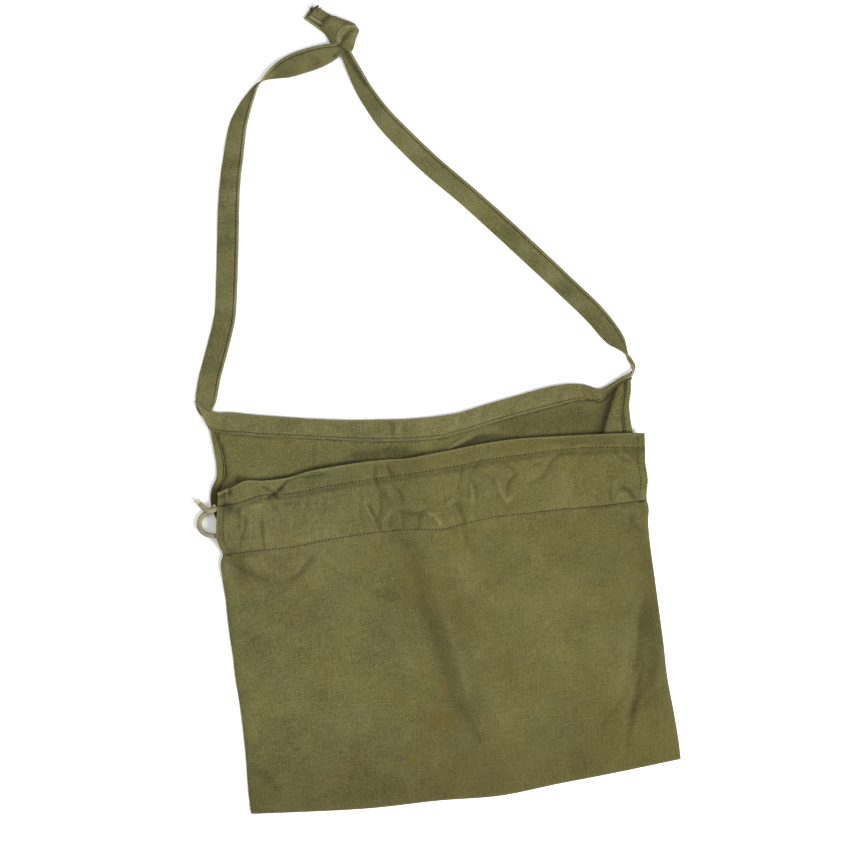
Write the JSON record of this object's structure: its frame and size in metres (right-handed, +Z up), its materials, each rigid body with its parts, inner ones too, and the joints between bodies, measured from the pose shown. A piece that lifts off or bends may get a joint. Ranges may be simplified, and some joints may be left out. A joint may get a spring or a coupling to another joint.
{
  "type": "drawstring cloth bag with neck ties",
  "caption": "Flat empty cotton bag: pouch with a drawstring casing at its mouth, a taller hemmed back flap, and a bound top edge running into ties knotted in a loop.",
  "frame": {"origin": "on the resting surface, under the middle of the whole bag with its ties laid out", "axes": "+Z up out of the front panel, +Y from the bottom seam towards the ties and the knot, +X to the right seen from above"},
  "size_m": [0.4757, 0.848, 0.0156],
  "materials": {
    "cloth": "worn olive cotton plain weave, faded along folds",
    "tie_cloth": "worn olive cotton, folded and edge stitched",
    "thread": "dark olive sewing thread",
    "cord": "grey-green cotton cord, limp, frayed ends"
  },
  "bodies": {
    "pouch": {"back_panel": "cloth", "back_hem_left": "cloth", "back_hem_right": "cloth", "side_seam_left": "cloth", "side_seam_right": "cloth", "bottom_seam": "cloth", "front_panel": "cloth", "bar_tack_left": "thread", "bar_tack_right": "thread"},
    "casing": {"casing_front": "cloth", "casing_facing": "cloth", "casing_hem_left": "cloth", "casing_hem_right": "cloth", "casing_stitch_upper": "thread", "casing_stitch_lower": "thread", "casing_stitch_left": "thread", "casing_stitch_right": "thread"},
    "drawstring": {"drawstring_run": "cord", "drawstring_end_lower": "cord", "drawstring_end_upper": "cord"},
    "flap": {"back_flap": "cloth", "flap_hem_left": "cloth", "flap_hem_right": "cloth", "flap_stitch_left": "thread", "flap_stitch_right": "thread", "top_binding": "tie_cloth", "binding_stitch": "thread", "strap_corner_left": "tie_cloth", "strap_corner_right": "tie_cloth"},
    "ties": {"strap_left": "tie_cloth", "strap_twist": "tie_cloth", "strap_bridge": "tie_cloth", "strap_roll_right": "tie_cloth", "strap_right": "tie_cloth", "strap_stitch_left": "thread", "strap_stitch_bridge": "thread", "strap_stitch_right": "thread", "strap_knot": "tie_cloth", "strap_knot_under": "tie_cloth", "strap_tail_upper": "tie_cloth", "strap_tail_lower": "tie_cloth"}
  },
  "joints": [
    {"name": "casing_fold", "type": "hinge", "parent": "pouch", "child": "casing", "pos_m": [0, -0.134, 0.0158], "axis": [1, 0, 0], "range_deg": [0, 165]},
    {"name": "drawstring_pull", "type": "slide", "parent": "casing", "child": "drawstring", "axis": [-1, 0, 0], "range_m": [0, 0.15]},
    {"name": "flap_fold", "type": "hinge", "parent": "pouch", "child": "flap", "pos_m": [0, -0.05, 0.0024], "axis": [1, 0, 0], "range_deg": [0, 70]},
    {"name": "ties_fold", "type": "hinge", "parent": "flap", "child": "ties", "pos_m": [0, 0.021, 0.006], "axis": [1, 0, 0], "range_deg": [0, 100]}
  ]
}
